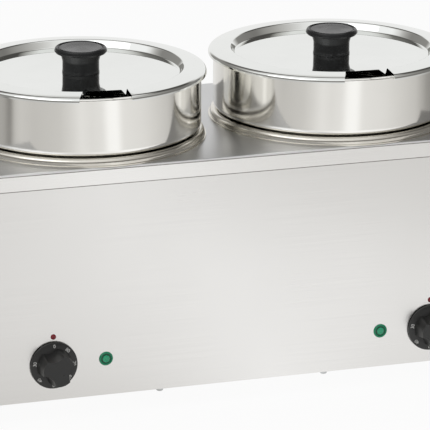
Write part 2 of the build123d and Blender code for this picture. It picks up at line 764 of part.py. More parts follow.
def sensor_clip(sign):
    """Spring clip that holds the bulb up against the plate."""
    outer = BULB + CLIP_PLAY + CLIP_WALL
    inner = BULB + CLIP_PLAY
    rise = PLATE_FOOT - BULB_Z
    middle = Pos(0, (BULB_Z + PLATE_FOOT) / 2)
    saddle = Pos(0, BULB_Z) * Circle(outer) + middle * Rectangle(2 * outer, rise)
    saddle += Pos(0, PLATE_FOOT - CLIP_STRAP_THICK / 2) * Rectangle(CLIP_STRAP, CLIP_STRAP_THICK)
    saddle -= Pos(0, PLATE_FOOT + outer) * Rectangle(2 * CLIP_STRAP, 2 * outer)
    saddle -= Pos(0, BULB_Z) * Circle(inner)
    saddle -= middle * Rectangle(2 * inner, rise)
    section = Plane(origin=(0, BULB_Y, 0), x_dir=(0, 1, 0), z_dir=(1, 0, 0)) * saddle
    return Pos((sign * PITCH - CLIP_WIDTH) / 2, 0, 0) * extrude(section, CLIP_WIDTH)


def terminal_block():
    """Three-pole terminal block on the base plate, behind the gland."""
    step = CASING_FOOT + BLOCK_FOOT
    top = CASING_FOOT + BLOCK_HEIGHT
    bore_z = CASING_FOOT + POLE_BORE_Z
    body = block(-BLOCK_HALF, BLOCK_HALF, BLOCK_FRONT, BLOCK_BACK, CASING_FOOT, step)
    for x in (-POLE_PITCH, 0, POLE_PITCH):
        body += block(x - POLE_WIDTH / 2, x + POLE_WIDTH / 2, BLOCK_FRONT, BLOCK_BACK, step, top)
        bore = Cylinder(POLE_BORE, BLOCK_BACK - BLOCK_FRONT + 2 * PAST, rotation=(90, 0, 0))
        body -= Pos(x, (BLOCK_FRONT + BLOCK_BACK) / 2, bore_z) * bore
        for y in POLE_SCREW_YS:
            body -= drum(POLE_SCREW_WELL, bore_z, top + PAST, x, y)
    return body


def earth_stud():
    """Earth stud, washer and nut on the base plate."""
    washer_top = CASING_FOOT + EARTH_WASHER_THICK
    nut_top = CASING_FOOT + EARTH_NUT_TOP
    stud = drum(EARTH_STUD, CASING_FOOT, CASING_FOOT + EARTH_STUD_HEIGHT, EARTH_X, EARTH_Y)
    stud += drum(EARTH_WASHER, CASING_FOOT, washer_top, EARTH_X, EARTH_Y)
    return stud + hex_nut(EARTH_NUT_FLATS, EARTH_STUD - FREE, washer_top, nut_top, EARTH_X, EARTH_Y)


def cable_gland():
    """Gland for the mains lead: thread through the panel, hexagon and domed cap."""
    thread = drum(GLAND_THREAD, -GLAND_INNER, 0)
    hexagon = extrude(RegularPolygon(GLAND_HEXAGON, 6, major_radius=False), GLAND_HEXAGON_HEIGHT)
    cap = turned(
        [
            (0, GLAND_HEXAGON_HEIGHT),
            (GLAND_CAP, GLAND_HEXAGON_HEIGHT),
            (GLAND_CAP, GLAND_CAP_SHOULDER),
            (GLAND_MOUTH, DIAL_REACH),
            (0, DIAL_REACH),
        ],
        [0.5, 3.0, 1.0],
    )
    whole = thread + hexagon + cap
    for groove in range(GLAND_GROOVES):
        turn = Rot(0, 0, 360 * groove / GLAND_GROOVES)
        whole -= turn * Pos(*GLAND_GROOVE_PLACE) * Box(*GLAND_GROOVE)
    return whole - drum(GLAND_BORE, -GLAND_INNER - PAST, DIAL_REACH + PAST)


def gland_nut():
    """Locknut of the gland, inside the casing."""
    return hex_nut(GLAND_NUT_FLATS, GLAND_THREAD + SNUG, -SHEET - GLAND_NUT_HEIGHT, -SHEET)


def foot():
    """Tapered rubber foot with a pocket for its screw."""
    body = turned(
        [(0, 0), (FOOT_RADIUS, 0), (FOOT_TOP_RADIUS, FOOT_HEIGHT), (0, FOOT_HEIGHT)],
        [1.2, 0.6],
    )
    body -= drum(FOOT_POCKET, -PAST, FOOT_POCKET_DEPTH)
    return body - drum(SCREW_HOLE, 0, FOOT_HEIGHT + PAST)


def foot_screw():
    """Screw up through the foot, its head in the pocket."""
    return Pos(0, 0, FOOT_POCKET_DEPTH) * (Rot(180, 0, 0) * pan_screw(FOOT_SCREW_LENGTH))


def save(node, shape):
    """Write one node."""
    export_step(shape, f"parts/{node}.step")


def main():
    os.makedirs("parts", exist_ok=True)
    save("deck_cover", deck_cover())
    save("front_casing", front_casing())
    save("rear_panel", rear_panel())
    save("base_plate", base_plate())
    for side, sign in SIDES.items():
        axis = well_axis(side)
        save(f"{side}_well", axis * well())
        save(f"{side}_pot", axis * pot())
        save(f"{side}_lid", axis * lid(side))
        save(f"{side}_lid_knob", axis * lid_knob())
        save(f"{side}_knob_screw", axis * knob_screw())
        save(f"{side}_heat_plate", axis * heat_plate())
        save(f"{side}_heater", axis * heater())
        save(f"{side}_heater_clamp", axis * heater_clamp())
        save(f"{side}_cutout", axis * cutout())
        save(f"{side}_sensor", sensor(sign))
        dial_plane = on_front(sign * DIAL_X, DIAL_Z)
        save(f"{side}_dial", dial_plane * dial())
        save(f"{side}_spindle", dial_plane * spindle())
        save(f"{side}_thermostat", dial_plane * thermostat())
        lamp_plane = on_front(sign * LAMP_X, LAMP_Z)
        save(f"{side}_pilot_lamp", lamp_plane * pilot_lamp())
        save(f"{side}_lamp_holder", lamp_plane * lamp_holder())
    nut_top = CLAMP_TOP - CLAMP_THICK
    save("clamp_studs", group(well_axis(side) * clamp_stud() for side in SIDES))
    save("clamp_nuts", group(
        well_axis(side) * hex_nut(CLAMP_NUT_FLATS, CLAMP_STUD + SNUG, nut_top - CLAMP_NUT_HEIGHT, nut_top)
        for side in SIDES
    ))
    save("sensor_clips", group(sensor_clip(sign) for sign in SIDES.values()))
    save("index_studs", group(
        on_front(sign * DIAL_X, STUD_Z) * index_stud() for sign in SIDES.values()
    ))
    save("thermostat_screws", group(
        on_front(sign * DIAL_X + x, DIAL_Z) * thermostat_screw()
        for sign in SIDES.values() for x in (-THERMO_SCREW_X, THERMO_SCREW_X)
    ))
    save("terminal_block", terminal_block())
    save("earth_stud", earth_stud())
    save("cable_gland", on_back(0, GLAND_Z) * cable_gland())
    save("gland_nut", on_back(0, GLAND_Z) * gland_nut())
    save("feet", group(Pos(x, y, 0) * foot() for x, y in foot_places()))
    save("foot_screws", group(Pos(x, y, 0) * foot_screw() for x, y in foot_places()))
    save("foot_nuts", group(
        hex_nut(FOOT_NUT_FLATS, SCREW + SNUG, CASING_FOOT, CASING_FOOT + FOOT_NUT_HEIGHT, x, y)
        for x, y in foot_places()
    ))
    screw = pan_screw(SCREW_LENGTH)
    save("base_screws", group(
        Pos(x, y, CASING_FOOT - SHEET) * (Rot(180, 0, 0) * screw) for x, y in base_screw_places()
    ))
    save("rear_screws", group(on_back(x, z) * screw for x, z in rear_screw_places()))
    save("deck_screws", group(on_back(x, z) * screw for x, z in deck_screw_places()))


if __name__ == "__main__":
    main()
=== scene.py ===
"""Two-pot bain-marie hot pot: finishes, visible details and studio on the part's own frame."""
import math

import bpy
from bpy.props import FloatProperty, FloatVectorProperty, PointerProperty
from mathutils import Matrix, Vector


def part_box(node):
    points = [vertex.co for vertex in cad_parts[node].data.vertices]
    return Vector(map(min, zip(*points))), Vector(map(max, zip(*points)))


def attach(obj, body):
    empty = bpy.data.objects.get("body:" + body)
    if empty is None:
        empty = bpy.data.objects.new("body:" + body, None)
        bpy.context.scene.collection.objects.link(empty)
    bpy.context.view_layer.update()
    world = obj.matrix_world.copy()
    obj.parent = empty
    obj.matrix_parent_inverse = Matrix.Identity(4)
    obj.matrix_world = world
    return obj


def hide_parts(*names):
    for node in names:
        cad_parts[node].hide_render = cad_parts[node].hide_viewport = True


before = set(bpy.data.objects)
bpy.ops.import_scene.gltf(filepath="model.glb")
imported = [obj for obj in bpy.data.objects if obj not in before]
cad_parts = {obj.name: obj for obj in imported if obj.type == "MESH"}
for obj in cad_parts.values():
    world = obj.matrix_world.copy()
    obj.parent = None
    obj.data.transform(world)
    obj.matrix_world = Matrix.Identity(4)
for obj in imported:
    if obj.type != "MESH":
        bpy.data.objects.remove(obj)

bl_info = {
    "name": "Bain-marie hot pot",
    "version": (1, 0, 0),
    "blender": (4, 5, 0),
    "location": "3D View > Sidebar > Hot pot",
    "description": "Finishes a two-pot counter-top hot pot on its frame of solids",
    "category": "Object",
}

SIDES = ("left", "right")
MM = 0.001
PANEL_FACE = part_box("front_casing")[0][1]
SMOOTH_ANGLE = math.radians(38)

# How bends are drawn: degrees to a step of an arc, steps to a full spin, and the gap in
# millimetres that closes a seam.
ARC_STEP = 9
SPIN_STEPS = 96
SEAM_GAP = 0.002

# Half sections are closed outlines in millimetres: (radius, height, bend of the corner).
# Heights are from the lid's disc, from the knob's foot and from the panel behind the lamp.
LID_STEPS = 192
LID_SECTION = (
    (2.3, 0, 0), (93, 0, 2), (97.3, 7, 2.5), (118.3, 5.2, 4), (118.3, 0.6, 0), (117.3, 0.6, 0),
    (117.3, 4.28, 3), (97.83, 5.95, 1.5), (93.56, -1, 3), (2.3, -1, 0), (2.3, 0, 0))
KNOB_SECTION = (
    (0, 0, 0), (17.7, 0, 0.5), (17.3, 3.0, 3), (17.3, 11.5, 9), (19.2, 18.2, 0.5),
    (23.5, 19.0, 0.5), (24.95, 20.8, 1.0), (24.0, 23.6, 1.0), (22.9, 24.42, 0.3),
    (21.2, 22.9, 0.2), (20.0, 23.9, 0.4), (12.0, 23.3, 20), (0, 22.9, 0))
LAMP_STEPS = 64
LAMP_SECTION = (
    (0, 0.6, 0), (3.7, 0.6, 0), (4.6, 0.4, 0.2), (5.1, 1.25, 0.3), (6.0, 1.2, 0.4),
    (6.7, 0.35, 0.15), (6.7, 0.02, 0), (0, 0.02, 0))

# The cut of the ladle notch, in millimetres from the lid's axis and disc; turns in degrees.
NOTCH_INNER = (-8, 24)
NOTCH_INNER_BEND = 1.2
NOTCH_OUTER = (-25.5, 25.5)
NOTCH_OUTER_BEND = 2
NOTCH_OUTER_REACH = 120.3
NOTCH_FOOT = -2
NOTCH_HEIGHT = 12
NOTCH_TURN = {"left": -5.0, "right": -2.2}

# Worn edges: width in millimetres, segments, and the angle above which an edge is rounded.
NOTCH_EDGE = (0.25, 2, 50)
HUB_EDGE = (1.5, 4, 28)

# The dial, in millimetres from the panel and from its axis; turns and lean in degrees.
SKIRT_GAP = 1.0
SKIRT_RADIUS = 22.4
SKIRT_EDGE = 3.0
SKIRT_ROOT = 16.5
SKIRT_TOP = 4.2
HUB_FOOT_RADIUS = 16.8
HUB_TIP_RADIUS = 15.0
HUB_HEIGHT = 17.3
HUB_MIDDLE = 12.35
HUB_SIDES = 96
SCALLOPS = 3
SCALLOP_SIDES = 128
SCALLOP_LENGTH = 50
SCALLOP_OUT = 24.2
SCALLOP_LEAN = 11
SCALLOP_TURN = 15
DIAL_MARKS = ((0, "0"), (280, "30"), (228, "40"), (180, "50"), (130, "60"), (88, "70"), (42, "80"))
MARK_RADIUS = 18.9
INK_THICKNESS = 0.04
INK_LIFT = 0.03

# The pilot lamp's recess, painted dark as shade, and the eye that stands in it, in millimetres. An
# eye's step is how far its top is inset and then raised.
RECESS_SHADE_RADIUS = 4.75
RECESS_SHADE_HEIGHTS = (0.1, 1.3)
EYE_SIDES = 8
EYE_RADIUS = 3.6
EYE_HEIGHT = 0.7
EYE_MIDDLE = 0.75
EYE_STEPS = ((1.5, 0.5), (0.8, -0.25))
EYE_EDGE = 0.05

# What a colour of the finishes is scaled by on each piece, in red, green and blue; on the wells and
# the lamp's recess the darkening is painted shade.
DECK_TINT = (1.07, 1.07, 1.07)
REAR_TINT = (0.9, 0.9, 0.9)
WELL_PAINTED_SHADE = (0.84, 0.82, 0.78)
LID_TINT = (0.955, 0.981, 1.0)
KNOB_TINT = (0.85, 0.85, 0.85)
DIAL_TINT = (1.45, 1.35, 1.2)
RECESS_PAINTED_SHADE = (0.3, 0.3, 0.3)

# The deck's fold, in metres above the floor: smoother below it, and darker above it with painted
# shade.
DECK_FOLD = (0.238, 0.2395)
DECK_SKIRT_GLOSS = 0.68
DECK_TOP_PAINTED_SHADE = (0.87, 0.885, 0.915, 1)

# Greys that the steel mirrors, by the turn round the part: 0 is on its left, 0.25 in front,
# 0.5 on its right and 0.75 behind.
FLOOR_FAR = (
    (0, 0.35), (0.018, 0.18), (0.03, 0.5), (0.045, 0.57), (0.08, 0.52), (0.14, 0.57),
    (0.165, 0.66), (0.19, 0.78), (0.215, 0.73), (0.24, 0.77), (0.258, 0.97), (0.278, 0.98),
    (0.294, 0.77), (0.35, 0.72), (0.40, 0.62), (0.44, 0.54), (0.48, 0.3), (0.52, 0.2),
    (0.58, 0.6), (0.75, 0.77), (0.92, 0.5), (1, 0.35))
FLOOR_NEAR = (
    (0, 0.6), (0.17, 0.78), (0.225, 0.88), (0.29, 1.0), (0.34, 0.93), (0.45, 0.75), (1, 0.6))
WALLS_LOW = (
    (0, 0.28), (0.12, 0.25), (0.40, 0.22), (0.50, 0.2), (0.59, 0.25), (0.625, 0.9), (0.76, 0.9),
    (0.79, 0.28), (0.9, 0.25), (1, 0.28))
WALLS_HIGH = (
    (0, 1.0), (0.19, 1.0), (0.25, 0.95), (0.316, 0.82), (0.37, 0.6), (0.43, 0.4), (0.50, 0.22),
    (0.57, 0.08), (0.75, 0.08), (0.83, 0.2), (0.91, 0.6), (0.95, 1.0), (1, 1.0))

# Where one row of greys gives way to the next: metres out on the floor, then slopes upwards.
FLOOR_CHANGE = (0.62, 0.8)
WALLS_CHANGE = (0.44, 0.56)
CEILING_CHANGE = (0.80, 0.92)
CEILING = (0.9, 0.9, 0.9, 1)
DIM_TONE = (1.0, 0.96, 0.90, 1)
WHITE = (1, 1, 1, 1)
FLOOR_RADIUS = 6.0
FLOOR_SIDES = 96
FLOOR_BORDER = 0.5
FLOOR_DROP = 0.0003
FLOOR_GLOW = 0.93

CAMERA_TARGET = (0, -0.01175, 0.1465)
CAMERA_SENSOR = 36
CAMERA_REACH = 50
KEY_PLACE = (-1.35, -0.75, 1.75)
KEY_TARGET = (0, 0, 0.2)
KEY_SIZE = (1.5, 1.1)


def linear(code):
    """Turn an sRGB hex colour into linear RGB."""
    parts = [int(code[i:i + 2], 16) / 255 for i in (0, 2, 4)]
    return tuple(c / 12.92 if c <= 0.04045 else ((c + 0.055) / 1.055) ** 2.4 for c in parts)


def tinted(colour, factors):
    """A colour with each channel scaled."""
    return tuple(c * k for c, k in zip(colour, factors))


def add_node(tree, kind, inputs=None, into=None, stops=None, **settings):
    """Add a node with its settings and links.

    Inputs are values or sockets, into is (node, input) or (node, input, output), and stops are
    a ramp's greys.
    """
    made = tree.nodes.new(kind)
    for name, value in settings.items():
        setattr(made, name, value)
    for place, level in stops or ():
        ramp = made.color_ramp.elements
        stop = ramp[0] if place == 0 else ramp[len(ramp) - 1] if place == 1 else ramp.new(place)
        stop.color = (level, level, level, 1)
    for key, value in (inputs or {}).items():
        if isinstance(value, bpy.types.NodeSocket):
            tree.links.new(value, made.inputs[key])
        else:
            made.inputs[key].default_value = value
    if into:
        tree.links.new(made.outputs[into[2] if len(into) > 2 else 0], into[0].inputs[into[1]])
    return made


def found(tree, kind):
    """The first node of a type."""
    return [node for node in tree.nodes if node.type == kind][0]


def new_material(name, colour, roughness, metallic=0.0):
    """Start a material; returns it, its tree, its shader and its object coordinates."""
    made = bpy.data.materials.new(name)
    made.use_nodes = True
    tree = made.node_tree
    tree.nodes.clear()
    inputs = {"Base Color": (*colour, 1), "Roughness": roughness, "Metallic": metallic}
    output = add_node(tree, "ShaderNodeOutputMaterial")
    shader = add_node(tree, "ShaderNodeBsdfPrincipled", inputs, into=(output, "Surface"))
    place = add_node(tree, "ShaderNodeTexCoord").outputs["Object"]
    return made, tree, shader, place


def finish_surface(tree, shader, colour, tone, roughness, gloss, relief, depth, darkest):
    """Give a shader its uneven colour, gloss and relief.

    Tone, gloss and relief are patterns, roughness is the two ends of the gloss, depth is the
    relief's in metres, and darkest is how dark the colour gets.
    """
    mix = add_node(tree, "ShaderNodeMix", {6: (*[c * darkest for c in colour], 1), 7: (*colour, 1)},
                   into=(shader, "Base Color", 2), data_type="RGBA")
    add_node(tree, "ShaderNodeMapRange", {"Value": tone, "From Min": 0.3, "From Max": 0.7},
             into=(mix, 0))
    add_node(tree, "ShaderNodeMapRange",
             {"Value": gloss, "From Min": 0.25, "From Max": 0.75, "To Min": roughness[0],
              "To Max": roughness[1]}, into=(shader, "Roughness"))
    if depth:
        add_node(tree, "ShaderNodeBump", {"Strength": 0.6, "Distance": depth, "Height": relief},
                 into=(shader, "Normal"))


def brushed_stainless(name, colour, roughness, grain):
    """Stainless sheet, belt-brushed: fine parallel lines that stretch reflections across them.

    Real lines lie 0.05 to 0.2 mm apart; they are drawn about 1 mm wide so that a few show.
    """
    made, tree, shader, place = new_material(name, colour, roughness, 1.0)
    stretched = add_node(tree, "ShaderNodeMapping", {"Vector": place, "Scale": grain})
    lines = add_node(tree, "ShaderNodeTexNoise",
                     {"Vector": stretched.outputs[0], "Scale": 1.0, "Detail": 4.0,
                      "Roughness": 0.65}).outputs[0]
    clouds = add_node(tree, "ShaderNodeTexNoise", {"Vector": place, "Scale": 9.0, "Detail": 2.0})
    blend = add_node(tree, "ShaderNodeMix", {0: 0.5, 2: lines, 3: clouds.outputs[0]}).outputs[0]
    finish_surface(tree, shader, colour, lines, (roughness - 0.05, roughness + 0.05), blend, lines,
                   0.00006, 0.955)
    return made


def polished_stainless(name, colour, roughness):
    """Stainless steel, drawn and buffed: a near mirror with soft wipe marks from cloths.

    The marks are about 40 mm across, as a folded cloth leaves them.
    """
    made, tree, shader, place = new_material(name, colour, roughness, 1.0)
    wipes = add_node(tree, "ShaderNodeTexNoise",
                     {"Vector": place, "Scale": 26.0, "Detail": 3.0}).outputs[0]
    finish_surface(tree, shader, colour, wipes, (roughness * 0.7, roughness * 1.5), wipes, None, 0,
                   0.97)
    return made


def moulded_plastic(name, colour, roughness, depth=0.00002):
    """Thermoset, nylon or acrylic moulding: even gloss with the very fine peel of the mould.

    The peel is drawn about 1 mm across, and finger marks about 15 mm.
    """
    made, tree, shader, place = new_material(name, colour, roughness)
    peel = add_node(tree, "ShaderNodeTexNoise", {"Vector": place, "Scale": 900.0, "Detail": 2.0})
    hands = add_node(tree, "ShaderNodeTexNoise",
                     {"Vector": place, "Scale": 70.0, "Detail": 3.0}).outputs[0]
    finish_surface(tree, shader, colour, hands, (roughness * 0.8, roughness * 1.3), hands,
                   peel.outputs[0], depth, 0.8)
    return made


def satin_part(name, colour, roughness, spots=160.0, metallic=1.0):
    """Plated, drawn, cast or glazed small part: satin with a tone that varies every 6 mm."""
    made, tree, shader, place = new_material(name, colour, roughness, metallic)
    blotch = add_node(tree, "ShaderNodeTexNoise",
                      {"Vector": place, "Scale": spots, "Detail": 4.0}).outputs[0]
    finish_surface(tree, shader, colour, blotch, (roughness * 0.75, roughness * 1.3), blotch,
                   blotch, 0.00003, 0.8)
    return made


class StudioSettings(bpy.types.PropertyGroup):
    """Camera and light."""
    azimuth: FloatProperty(
        name="Azimuth", description="Camera's turn round the part; minus is from the left",
        default=math.radians(-18.05), subtype="ANGLE")
    elevation: FloatProperty(
        name="Elevation", description="Camera's height angle above the floor",
        default=math.radians(17.02), subtype="ANGLE")
    roll: FloatProperty(
        name="Roll", description="Turn of the camera about its own axis",
        default=math.radians(0.331), subtype="ANGLE")
    distance: FloatProperty(
        name="Distance", description="From the camera to the middle of the part",
        default=3.3867, unit="LENGTH")
    lens: FloatProperty(name="Lens", description="Focal length in millimetres", default=294.6)
    shift_x: FloatProperty(
        name="Shift X", description="Sideways lens shift of the photograph's framing",
        default=0.0198)
    shift_y: FloatProperty(
        name="Shift Y", description="Upward lens shift of the photograph's framing",
        default=0.0037)
    key_power: FloatProperty(
        name="Key power", description="Soft box high on the left, in watts", default=4.0)


class FinishSettings(bpy.types.PropertyGroup):
    """Colours of the visible finishes."""
    sheet_colour: FloatVectorProperty(
        name="Sheet", description="Brushed sheet of the casing", subtype="COLOR",
        default=linear("EAE9E7"), min=0, max=1)
    polish_colour: FloatVectorProperty(
        name="Polish", description="Buffed steel of pots and lids", subtype="COLOR",
        default=linear("F5F4F0"), min=0, max=1)
    black_colour: FloatVectorProperty(
        name="Black", description="Moulded knobs and dials", subtype="COLOR",
        default=linear("232527"), min=0, max=1)
    lamp_colour: FloatVectorProperty(
        name="Lamp", description="Green lens of the pilot lamps", subtype="COLOR",
        default=linear("12946A"), min=0, max=1)


class DetailSettings(bpy.types.PropertyGroup):
    """Sizes of the visible details."""
    notch_reach: FloatProperty(
        name="Notch", description="From the lid's axis to the ladle notch's inner edge",
        default=0.072, unit="LENGTH")
    scallop_radius: FloatProperty(
        name="Scallop", description="Radius of the dial's finger scallops",
        default=0.0125, unit="LENGTH")
    number_size: FloatProperty(
        name="Numbers", description="Type size of the dial's numbers", default=0.0046,
        unit="LENGTH")


def put_finish(names, material):
    """Give carried-over solids one material."""
    for name in names:
        piece = bpy.data.objects[name]
        piece.data.materials.clear()
        piece.data.materials.append(material)


def both(*names):
    """The left and right node of each name."""
    return [side + "_" + name for side in SIDES for name in names]


def rough_top_with_painted_shade(material):
    """Make the deck's top rougher than its folded skirt, as wiping and spilled food leave it, and
    darker with painted shade.
    """
    tree = material.node_tree
    shader = found(tree, "BSDF_PRINCIPLED")
    place = found(tree, "TEX_COORD").outputs["Object"]
    height = add_node(tree, "ShaderNodeSeparateXYZ", {0: place}).outputs["Z"]
    top = add_node(tree, "ShaderNodeMapRange",
                   {"Value": height, "From Min": DECK_FOLD[0],
                    "From Max": DECK_FOLD[1]}).outputs[0]
    gloss = add_node(tree, "ShaderNodeMapRange",
                     {"Value": top, "To Min": DECK_SKIRT_GLOSS, "To Max": 1.0})
    rough = shader.inputs["Roughness"].links[0].from_socket
    add_node(tree, "ShaderNodeMath", {0: rough, 1: gloss.outputs[0]}, into=(shader, "Roughness"),
             operation="MULTIPLY")
    # Painted shade: the top's colour is darkened and cooled against the skirt.
    tint = add_node(tree, "ShaderNodeMix", {0: top, 6: WHITE, 7: DECK_TOP_PAINTED_SHADE},
                    data_type="RGBA")
    colour = shader.inputs["Base Color"].links[0].from_socket
    add_node(tree, "ShaderNodeVectorMath", {0: colour, 1: tint.outputs[2]},
             into=(shader, "Base Color"), operation="MULTIPLY")


class HOTPOT_OT_casing(bpy.types.Operator):
    """Finish the folded sheet casing, deck, rear panel and base"""
    bl_idname = "hotpot.casing"
    bl_label = "Casing finish"

    def execute(self, context):
        colour = tuple(context.scene.hotpot_finish.sheet_colour)
        # Brushed front and sides: an even satin that spreads light up and down.
        front = brushed_stainless("brushed stainless front", colour, 0.24, (6, 900, 900))
        # Brushed deck: the same sheet, rougher on top and darker there with painted shade.
        deck = brushed_stainless("brushed stainless deck, painted shade on top", tinted(colour, DECK_TINT), 0.34,
                                 (6, 900, 900))
        rough_top_with_painted_shade(deck)
        # Rolled sheet as the mill sends it: greyer, with faint rolling marks 3 mm wide.
        rear = brushed_stainless("mill finish stainless", tinted(colour, REAR_TINT), 0.4,
                                 (20, 300, 300))
        put_finish(["front_casing"], front)
        put_finish(["deck_cover"], deck)
        put_finish(["rear_panel", "base_plate"], rear)
        return {"FINISHED"}


class HOTPOT_OT_steel(bpy.types.Operator):
    """Finish the wells and pots"""
    bl_idname = "hotpot.steel"
    bl_label = "Wells and pots"

    def execute(self, context):
        colour = tuple(context.scene.hotpot_finish.polish_colour)
        # Buffed pots: clear reflections, a little soft at their edges.
        put_finish(both("pot"), polished_stainless("buffed stainless pot", colour, 0.1))
        # Drawn wells: dulled by hot water, and darker and warmer with painted shade under the pots.
        put_finish(both("well"), polished_stainless(
            "drawn stainless well, painted shade", tinted(colour, WELL_PAINTED_SHADE), 0.17))
        return {"FINISHED"}


class HOTPOT_OT_hidden(bpy.types.Operator):
    """Finish screws, heaters, controls and feet"""
    bl_idname = "hotpot.hidden"
    bl_label = "Screws, heaters and feet"

    def execute(self, context):
        # Zinc plate: bright grey, slightly milky.
        put_finish(
            ["foot_screws", "foot_nuts", "base_screws", "rear_screws", "deck_screws", "clamp_studs",
             "clamp_nuts", "thermostat_screws", "sensor_clips"]
            + both("heater_clamp", "spindle", "knob_screw"),
            satin_part("zinc plated steel", linear("C9CBCB"), 0.3))
        # Heater sheath: dark grey-brown, dulled by heat.
        put_finish(both("heater"), satin_part("nickel alloy heater sheath", linear("6F6A62"), 0.45))
        # Rolled aluminium: pale with a soft sheen.
        put_finish(both("heat_plate"), satin_part("rolled aluminium plate", linear("D2D3D4"), 0.38))
        # Drawn copper: warm and smooth.
        put_finish(both("sensor"), satin_part("drawn copper tube", linear("C98A63"), 0.3))
        # Turned brass: yellow and bright.
        put_finish(["earth_stud"], satin_part("turned brass", linear("D0B064"), 0.28))
        # Passivated steel: half matt with a yellow cast.
        put_finish(both("thermostat"), satin_part("passivated steel case", linear("B9B3A0"), 0.42))
        # Glazed steatite: off-white with a soft gloss.
        put_finish(["terminal_block"] + both("cutout"),
                   satin_part("glazed steatite", linear("DEDAD0"), 0.3, 60.0, 0.0))
        # Rubber: near black with hardly any shine.
        put_finish(["feet"], moulded_plastic("moulded rubber", linear("26272A"), 0.75, 0.00008))
        # Nylon: black and half matt.
        put_finish(["cable_gland", "gland_nut"],
                   moulded_plastic("moulded nylon", linear("202124"), 0.5, 0.00006))
        # Urea moulding: ivory and half matt.
        put_finish(both("lamp_holder"),
                   moulded_plastic("moulded lamp holder", linear("D8D5CC"), 0.5))
        return {"FINISHED"}


class HOTPOT_OT_index_studs(bpy.types.Operator):
    """Finish the red index studs above the dials"""
    bl_idname = "hotpot.index_studs"
    bl_label = "Index studs"

    def execute(self, context):
        # Acrylic: deep red and glossy, like a bead.
        put_finish(["index_studs"],
                   moulded_plastic("tinted acrylic stud", linear("8A0018"), 0.15))
        return {"FINISHED"}


def select_only(*pieces):
    """Deselect all, then select these and make the first active."""
    bpy.ops.object.select_all(action="DESELECT")
    for piece in pieces:
        piece.select_set(True)
    bpy.context.view_layer.objects.active = pieces[0]


def copied(piece):
    """A copy of a piece with its own mesh."""
    twin = piece.copy()
    twin.data = piece.data.copy()
    bpy.context.collection.objects.link(twin)
    return twin


def put(piece, place, forward=False):
    """Move a piece modelled upright at the origin to its place, turned to the front if asked."""
    turn = Matrix.Rotation(math.radians(90), 4, "X") if forward else Matrix()
    piece.matrix_world = Matrix.Translation(place) @ turn
    select_only(piece)
    bpy.ops.object.transform_apply(location=True, rotation=True, scale=True)


def on_lid(node):
    """Where a round node of a lid stands on its disc."""
    low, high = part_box(node)
    return (low[0] + high[0]) / 2, (low[1] + high[1]) / 2, low[2]


def on_panel(node):
    """The middle of a node that stands on the front panel."""
    low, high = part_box(node)
    return (low[0] + high[0]) / 2, PANEL_FACE, (low[2] + high[2]) / 2


def rounded_path(corners):
    """Points in millimetres along corners of (across, along, bend), each bend an arc."""
    path = []
    for k, (x, z, bend) in enumerate(corners):
        here = Vector((x, z))
        if not bend:
            path.append(here)
            continue
        back = (Vector(corners[k - 1][:2]) - here).normalized()
        ahead = (Vector(corners[(k + 1) % len(corners)][:2]) - here).normalized()
        half = back.angle(ahead) / 2
        middle = here + (back + ahead).normalized() * bend / math.sin(half)
        first = here + back * bend / math.tan(half) - middle
        last = here + ahead * bend / math.tan(half) - middle
        sweep = first.angle_signed(last)
        steps = max(2, round(abs(math.degrees(sweep)) / ARC_STEP))
        path += [middle + Matrix.Rotation(-sweep * i / steps, 2) @ first
                 for i in range(steps + 1)]
    return path


def drawn(path):
    """Draw a line by extruding one vertex along it; the piece is left in edit mode."""
    bpy.ops.object.select_all(action="DESELECT")
    bpy.ops.mesh.primitive_plane_add(size=MM)
    piece = bpy.context.object
    bpy.ops.object.mode_set(mode="EDIT")
    bpy.ops.mesh.select_mode(type="VERT")
    bpy.ops.mesh.select_all(action="SELECT")
    bpy.ops.mesh.merge(type="CENTER")
    bpy.ops.transform.translate(value=path[0])
    for here, there in zip(path, path[1:]):
        bpy.ops.mesh.extrude_region_move(TRANSFORM_OT_translate={"value": there - here})
    bpy.ops.mesh.select_all(action="SELECT")
    return piece


def spun(corners, steps=SPIN_STEPS):
    """Draw half a section and spin it into a closed shell."""
    piece = drawn([Vector((point.x, 0, point.y)) * MM for point in rounded_path(corners)])
    bpy.ops.mesh.spin(steps=steps, angle=math.tau, center=(0, 0, 0), axis=(0, 0, 1))
    bpy.ops.mesh.select_all(action="SELECT")
    bpy.ops.mesh.remove_doubles(threshold=SEAM_GAP * MM)
    bpy.ops.mesh.normals_make_consistent(inside=False)
    bpy.ops.object.mode_set(mode="OBJECT")
    bpy.ops.object.shade_smooth_by_angle(angle=SMOOTH_ANGLE)
    return piece


def cut_away(piece, cutter):
    """Take one solid out of another and remove the cutter."""
    cut = piece.modifiers.new("cut", "BOOLEAN")
    cut.object = cutter
    cut.operation = "DIFFERENCE"
    cut.solver = "EXACT"
    select_only(piece)
    bpy.ops.object.modifier_apply(modifier=cut.name)
    bpy.data.objects.remove(cutter)


def bevelled(piece, width, segments, angle):
    """Round the edges that are sharper than an angle, with flat faces left flat."""
    select_only(piece)
    bpy.ops.object.shade_smooth_by_angle(angle=SMOOTH_ANGLE)
    edge = piece.modifiers.new("edge", "BEVEL")
    edge.harden_normals = True
    edge.width = width * MM
    edge.segments = segments
    edge.limit_method = "ANGLE"
    edge.angle_limit = math.radians(angle)
    bpy.ops.object.modifier_apply(modifier=edge.name)


